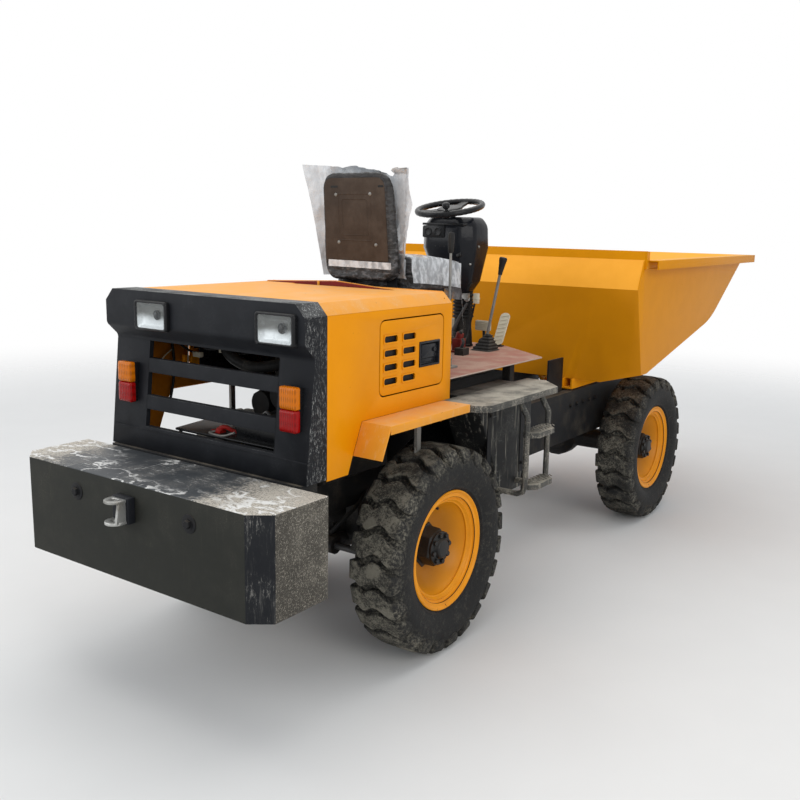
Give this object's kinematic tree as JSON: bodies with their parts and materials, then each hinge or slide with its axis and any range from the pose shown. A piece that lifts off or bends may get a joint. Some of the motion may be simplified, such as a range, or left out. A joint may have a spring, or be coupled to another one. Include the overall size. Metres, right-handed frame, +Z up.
{
  "type": "site dumper",
  "caption": "Four-wheel site dumper with a front-tipping skip, open driver's seat, rear engine hood with hinged side doors and rear-axle steering.",
  "frame": {"origin": "on the ground at the middle of the machine's length and width", "axes": "+X to the machine's right, +Y forward to the skip's lip, +Z up"},
  "size_m": [1.532, 4.256, 1.7853],
  "materials": {
    "paint": "semi-gloss orange-yellow paint with dust",
    "black_paint": "matt black paint under grey dust",
    "dusty_steel": "grey dusty steel",
    "primer": "reddish primer, worn",
    "tyre": "dusty rubber",
    "rim_paint": "yellow paint",
    "cast": "black cast iron",
    "plastic": "moulded black plastic",
    "vinyl": "black vinyl",
    "board": "brown board",
    "film": "milky loose film",
    "galvanised": "bright galvanised",
    "head_lens": "clear lens over a chrome reflector",
    "tail_lens": "amber over red",
    "chrome": "polished rod"
  },
  "bodies": {
    "chassis": {"battery": "plastic", "binnacle": "plastic", "bulkhead": "paint", "column_boot": "plastic", "counterweight": "black_paint", "driveshafts": "cast", "engine": "cast", "floor_plate": "primer", "foot_pedals": "dusty_steel", "front_axle": "cast", "gearbox": "cast", "headlamps": "head_lens", "hood_sides": "paint", "hood_top": "paint", "ladders": "dusty_steel", "levers": "plastic", "main_frame": "paint", "mudguards": "paint", "rear_axle": "cast", "rear_surround": "black_paint", "seat_back": "vinyl", "seat_base": "paint", "seat_cushion": "vinyl", "seat_film": "film", "side_tanks": "dusty_steel", "step_plates": "dusty_steel", "tail_lamps": "tail_lens", "tow_jaw": "galvanised"},
    "skip": {"skip": "paint"},
    "ram_barrel": {"ram_barrel": "paint"},
    "ram_rod": {"ram_rod": "chrome"},
    "steering": {"steering_wheel": "plastic"},
    "steering_rod": {"steering_rod": "chrome"},
    "door_right": {"door_right": "paint"},
    "door_left": {"door_left": "paint"},
    "knuckle_right": {"knuckle_right": "cast"},
    "knuckle_left": {"knuckle_left": "cast"},
    "wheel_front_left": {"tyre_front_left": "tyre", "rim_front_left": "rim_paint", "hub_front_left": "cast"},
    "wheel_front_right": {"tyre_front_right": "tyre", "rim_front_right": "rim_paint", "hub_front_right": "cast"},
    "wheel_rear_left": {"tyre_rear_left": "tyre", "rim_rear_left": "rim_paint", "hub_rear_left": "cast"},
    "wheel_rear_right": {"tyre_rear_right": "tyre", "rim_rear_right": "rim_paint", "hub_rear_right": "cast"}
  },
  "joints": [
    {"name": "skip_tip", "type": "hinge", "parent": "chassis", "child": "skip", "pos_m": [0, 1.412, 0.7], "axis": [-1, 0, 0], "range_deg": [0, 50]},
    {"name": "ram_swing", "type": "hinge", "parent": "chassis", "child": "ram_barrel", "pos_m": [0, 0.592, 0.585], "axis": [1, 0, 0], "range_deg": [0, 1.84]},
    {"name": "ram_stroke", "type": "slide", "parent": "ram_barrel", "child": "ram_rod", "axis": [0, 0.9369, 0.3496], "range_m": [0, 0.1721]},
    {"name": "steer_right", "type": "hinge", "parent": "chassis", "child": "knuckle_right", "pos_m": [0.316, -1.028, 0.397], "axis": [0, 0, 1], "range_deg": [-25, 25]},
    {"name": "steer_left", "type": "hinge", "parent": "chassis", "child": "knuckle_left", "pos_m": [-0.316, -1.028, 0.397], "axis": [0, 0, 1], "range_deg": [-25.2, 25.2]},
    {"name": "steering_rod_slide", "type": "slide", "parent": "chassis", "child": "steering_rod", "axis": [1, 0, 0], "range_m": [-0.0717, 0.0717]},
    {"name": "steering_wheel_turn", "type": "hinge", "parent": "chassis", "child": "steering", "pos_m": [0, -0.188, 1.68], "axis": [0, -0.225, 0.9744], "range_deg": [-545, 545]},
    {"name": "door_right_open", "type": "hinge", "parent": "chassis", "child": "door_right", "pos_m": [0.464, -1.389, 1.15], "axis": [0, 0, -1], "range_deg": [0, 90]},
    {"name": "door_left_open", "type": "hinge", "parent": "chassis", "child": "door_left", "pos_m": [-0.464, -1.389, 1.15], "axis": [0, 0, 1], "range_deg": [0, 90]},
    {"name": "spin_front_right", "type": "hinge", "parent": "chassis", "child": "wheel_front_right", "pos_m": [0.495, 1.093, 0.397], "axis": [1, 0, 0], "continuous": true},
    {"name": "spin_front_left", "type": "hinge", "parent": "chassis", "child": "wheel_front_left", "pos_m": [-0.495, 1.093, 0.397], "axis": [1, 0, 0], "continuous": true},
    {"name": "spin_rear_right", "type": "hinge", "parent": "knuckle_right", "child": "wheel_rear_right", "pos_m": [0.495, -1.028, 0.397], "axis": [1, 0, 0], "continuous": true},
    {"name": "spin_rear_left", "type": "hinge", "parent": "knuckle_left", "child": "wheel_rear_left", "pos_m": [-0.495, -1.028, 0.397], "axis": [1, 0, 0], "continuous": true}
  ],
  "couplings": [
    {"joint": "ram_swing", "follows": "skip_tip", "ratio": 0.036},
    {"joint": "ram_stroke", "follows": "skip_tip", "m_per_rad": 0.1953},
    {"joint": "steer_left", "follows": "steer_right", "ratio": 1},
    {"joint": "steering_rod_slide", "follows": "steer_right", "m_per_rad": 0.1627},
    {"joint": "steering_wheel_turn", "follows": "steer_right", "ratio": -21.6}
  ]
}
